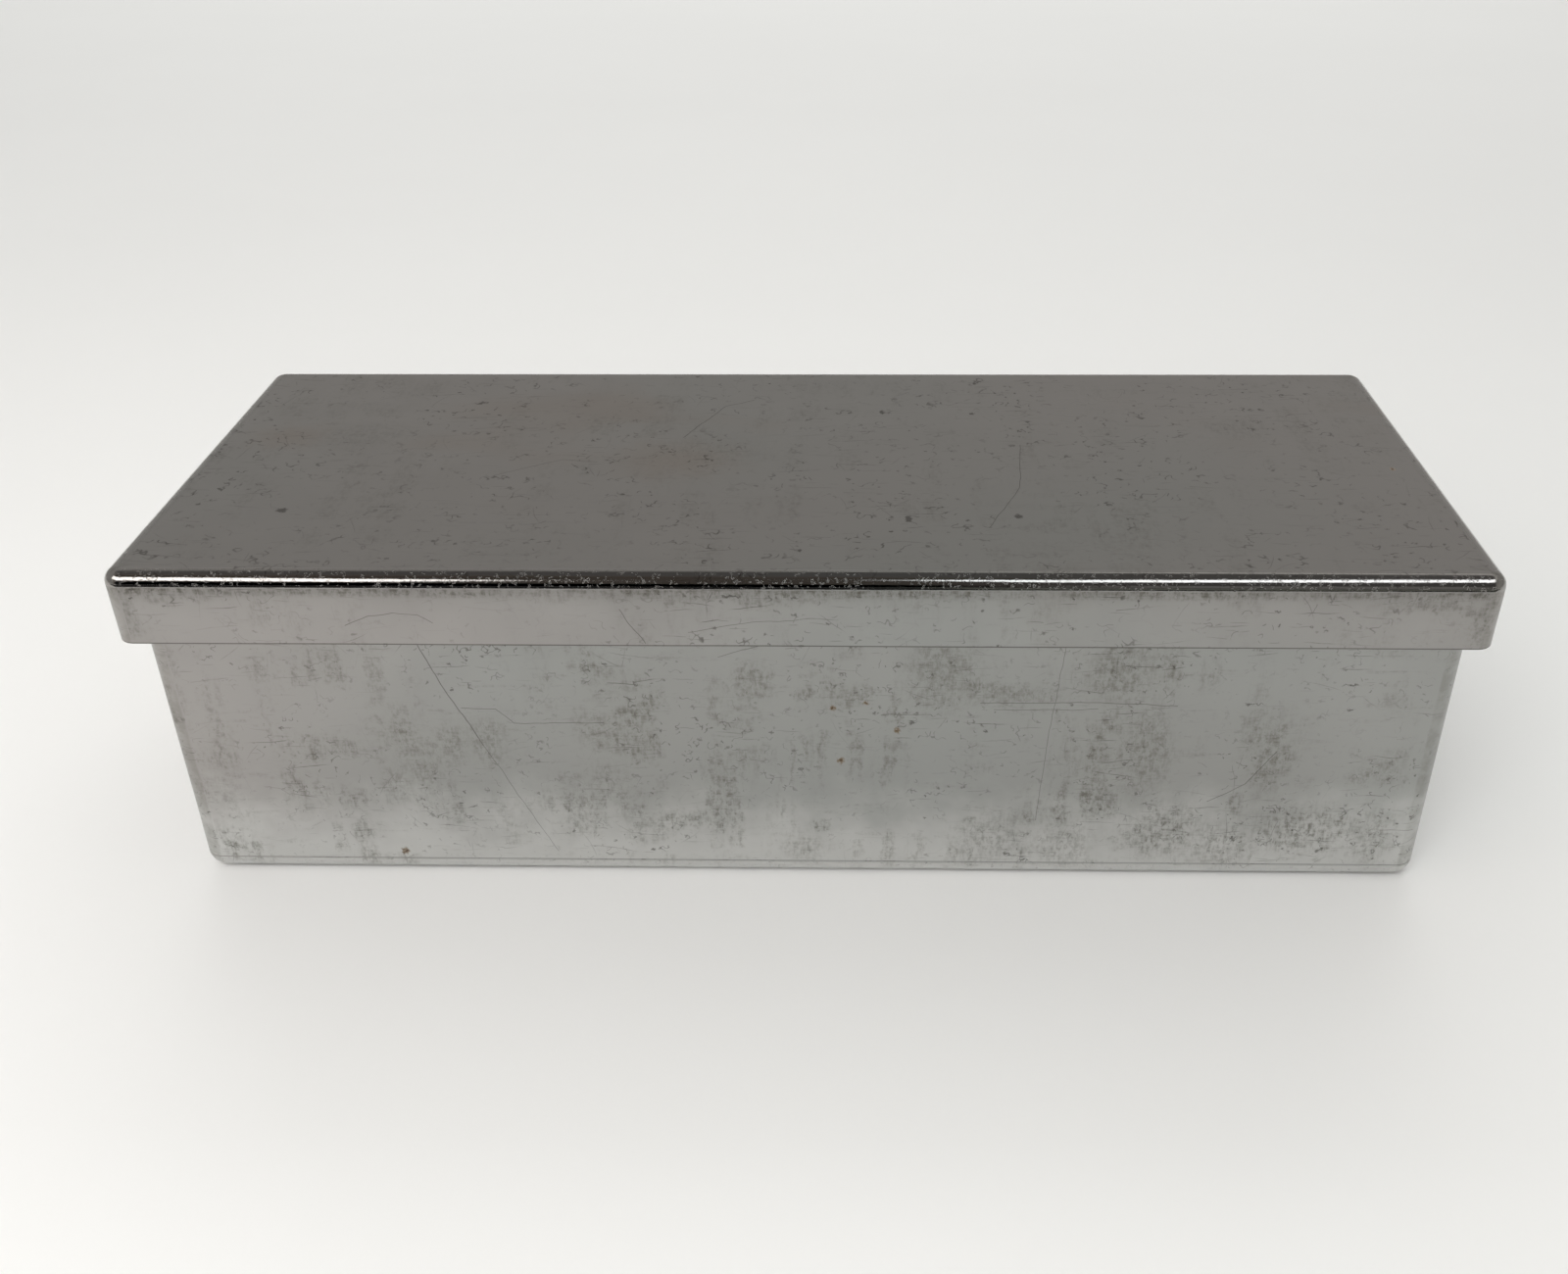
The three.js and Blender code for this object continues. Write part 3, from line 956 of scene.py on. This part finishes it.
def make_camera():
    """Stands in front of the box and looks down on it, as a hand-held camera does."""
    pitch, yaw, roll = (math.radians(a) for a in (CAMERA_PITCH, CAMERA_YAW, CAMERA_ROLL))
    level_forward = Vector((math.sin(yaw), math.cos(yaw), 0))
    forward = level_forward * math.cos(pitch) + Vector((0, 0, -math.sin(pitch)))
    level = Vector((math.cos(yaw), -math.sin(yaw), 0))
    upward = level.cross(forward)
    right = math.cos(roll) * level + math.sin(roll) * upward
    up = math.cos(roll) * upward - math.sin(roll) * level
    turn = Matrix((right, up, -forward)).transposed().to_4x4()
    camera = bpy.data.objects.new("camera", bpy.data.cameras.new("camera"))
    bpy.context.scene.collection.objects.link(camera)
    camera.matrix_world = Matrix.Translation(CAMERA_PLACE) @ turn
    camera.data.sensor_width = 36
    camera.data.sensor_fit = "HORIZONTAL"
    camera.data.lens = CAMERA_LENS
    camera.data.shift_x, camera.data.shift_y = CAMERA_SHIFT
    camera.data.clip_start = 0.01
    bpy.context.scene.camera = camera


FLOOR_SIZE = 3.4
CARD_DISTANCE = 0.185  # from the lid's front
CARD_DEPTH = 3.0


def stage_sheet(name, width, depth, place, material):
    """A flat level rectangle that belongs to the studio."""
    mesh = bpy.data.meshes.new(name)
    w, d = width / 2, depth / 2
    mesh.from_pydata([(-w, -d, 0), (w, -d, 0), (w, d, 0), (-w, d, 0)], [], [(0, 1, 2, 3)])
    mesh.materials.append(material)
    made = bpy.data.objects.new(name, mesh)
    made.location = place
    bpy.context.scene.collection.objects.link(made)
    return made


def make_floor():
    s = Shader("pale_floor")
    colour = s.blend(s.noise(s.solid, 3, 4, 0.6), (0.86, 0.86, 0.855, 1), (0.90, 0.90, 0.895, 1))
    normal = s.bump(s.product(s.noise(s.solid, 900, 2, 0.6), 0.02 * MM), strength=0.5)
    s.surface(Base_Color=colour, Roughness=0.85, Normal=normal)
    stage_sheet("floor", FLOOR_SIZE, FLOOR_SIZE, (0, 0, 0), s.material)


def make_cards():
    """Only reflections see these: the dark far side of the table, below the camera, and a
    lighter stretch of it that starts further out, on the right."""
    near = -LID_SIZE.y / 2 - CARD_DISTANCE
    stretches = [
        ("dark_card", (0.004, 0.004, 0.004, 1), -0.8, 0.8, near, 0.5 * MM),
        ("grey_card", (0.120, 0.125, 0.105, 1), 0.06, 0.9, near - 0.10, 1.0 * MM),
    ]
    for name, colour, left, right, edge, height in stretches:
        s = Shader(name)
        s.surface(Base_Color=colour, Roughness=0.9)
        place = ((left + right) / 2, edge - CARD_DEPTH / 2, height)
        card = stage_sheet(name, right - left, CARD_DEPTH, place, s.material)
        card.visible_camera = False
        card.visible_diffuse = False
        card.visible_shadow = False


def softbox(name, towards, distance, size, power, colour):
    """A rectangular lamp that faces the box, seen from it in the direction towards."""
    data = bpy.data.lights.new(name, "AREA")
    data.shape = "RECTANGLE"
    data.size, data.size_y = size
    data.energy = power
    data.color = colour
    lamp = bpy.data.objects.new(name, data)
    aim = Vector((0, 0, TOP / 2))
    direction = Vector(towards).normalized()
    lamp.location = aim + direction * distance
    lamp.rotation_mode = "QUATERNION"
    lamp.rotation_quaternion = direction.to_track_quat("Z", "Y")
    bpy.context.scene.collection.objects.link(lamp)
    return lamp


def make_lights():
    """Two softboxes that only reflections see, and fills that reflections don't see."""
    boxes = [
        softbox(
            "front_left_box", towards=(-0.59, -0.60, 0.58), distance=1.1,
            size=(0.74, 0.34), power=2.5, colour=(1.0, 0.985, 0.97),
        ),
        softbox(
            "front_right_box", towards=(0.39, -0.50, 0.78), distance=1.1,
            size=(0.80, 0.28), power=2.1, colour=(0.95, 0.975, 1.0),
        ),
    ]
    for lamp in boxes:
        lamp.visible_diffuse = False
    fills = [
        softbox(
            "overhead_fill", towards=(-0.12, 0.15, 1.0), distance=3.0,
            size=(9.0, 9.0), power=96.0, colour=(0.985, 1.0, 0.98),
        ),
        softbox(
            "back_fill", towards=(0.0, 1.0, 0.75), distance=2.4,
            size=(3.0, 1.2), power=18.0, colour=(0.99, 1.0, 0.99),
        ),
        softbox(
            "front_fill", towards=(-0.24, -1.0, 1.0), distance=0.9,
            size=(0.6, 0.5), power=4.1, colour=(0.99, 1.0, 0.985),
        ),
        softbox(
            "left_fill", towards=(-0.80, -0.45, 0.55), distance=0.75,
            size=(0.5, 0.5), power=0.7, colour=(1.0, 0.84, 0.78),
        ),
    ]
    for lamp in fills:
        lamp.visible_glossy = False


ROOM_LEVEL = 0.405
ROOM_DARKENING = 0.32
ROOM_TINT = (1.0, 0.975, 0.935, 1)
ROOM_BROWN = (1.0, 0.86, 0.74, 1)
BACKGROUND = (0.93, 0.93, 0.93, 1)


def make_world():
    """A grey room with a dark side behind the camera. The camera itself sees an even pale
    background."""
    world = bpy.data.worlds.new("studio")
    bpy.context.scene.world = world
    world.use_nodes = True
    w = Nodes(world.node_tree)
    direction = w.node("ShaderNodeTexCoord").outputs["Generated"]
    parts = w.node("ShaderNodeSeparateXYZ", {"Vector": direction}).outputs
    across, back, up = parts["X"], parts["Y"], parts["Z"]

    front = w.ramp(back, -0.35, -0.05, 1.0, 0.0)
    middle = w.ramp(w.math("ABSOLUTE", across), 0.50, 0.75, 1.0, 0.0)
    behind_camera = w.product(front, middle)
    ceiling = w.ramp(up, 0.72, 0.92)
    dark = w.most(behind_camera, w.product(ceiling, 0.90))
    # Low down behind the camera it is darker still, but lighter on the right.
    low = w.ramp(up, 0.26, 0.34, 1.0, 0.0)
    low = w.product(behind_camera, low, w.ramp(across, 0.02, 0.20, 0.095, -0.13))
    # A lighter patch high up behind the box, strongest on the right.
    window = w.product(w.ramp(up, 0.66, 0.74), w.ramp(up, 0.80, 0.88, 1.0, 0.0))
    window = w.product(window, w.math("SUBTRACT", 1.0, front))
    window = w.product(window, w.ramp(across, -0.10, 0.20, 0.0, 0.30))
    level = w.math("SUBTRACT", ROOM_LEVEL, w.product(dark, ROOM_DARKENING))
    level = w.math("ADD", w.math("SUBTRACT", level, low), window)

    brown = w.product(behind_camera, w.ramp(across, 0.0, 0.20, 1.0, 0.0))
    tint = w.blend(brown, ROOM_TINT, ROOM_BROWN)
    room = w.node("ShaderNodeBackground", {"Color": tint, "Strength": level}).outputs[0]
    pale = w.node("ShaderNodeBackground", {"Color": BACKGROUND}).outputs[0]
    seen = w.node("ShaderNodeLightPath").outputs["Is Camera Ray"]
    mix = w.node("ShaderNodeMixShader", {0: seen, 1: room, 2: pale}).outputs[0]
    w.node("ShaderNodeOutputWorld", {"Surface": mix})


make_camera()
skirt_top = TOP - LID_BEND
lid_metal = plated_metal(
    "worn_plate_lid", 2.0, LID_MARKS, flat_roughness=0.31, stain_amount=0.32, blush_amount=0.60,
    pit_share=0.18, squiggle_scale=160, squiggle_widths=(0.013, 0.024),
    dark_band=(skirt_top - 3 * MM, skirt_top - 1 * MM),
)
box_metal = plated_metal(
    "worn_plate_box", 9.0, BODY_MARKS, flat_roughness=0.32, stain_amount=0.85, blush_amount=0.20,
    pit_share=0.36, squiggle_scale=230, squiggle_widths=(0.018, 0.018), painted_reflection_below=18 * MM,
)
make_lid(lid_metal)
make_wall(box_metal)
make_pan(box_metal)
make_wire(drawn_wire())
make_floor()
make_cards()
make_lights()
make_world()
bpy.context.scene.view_settings.view_transform = "Standard"
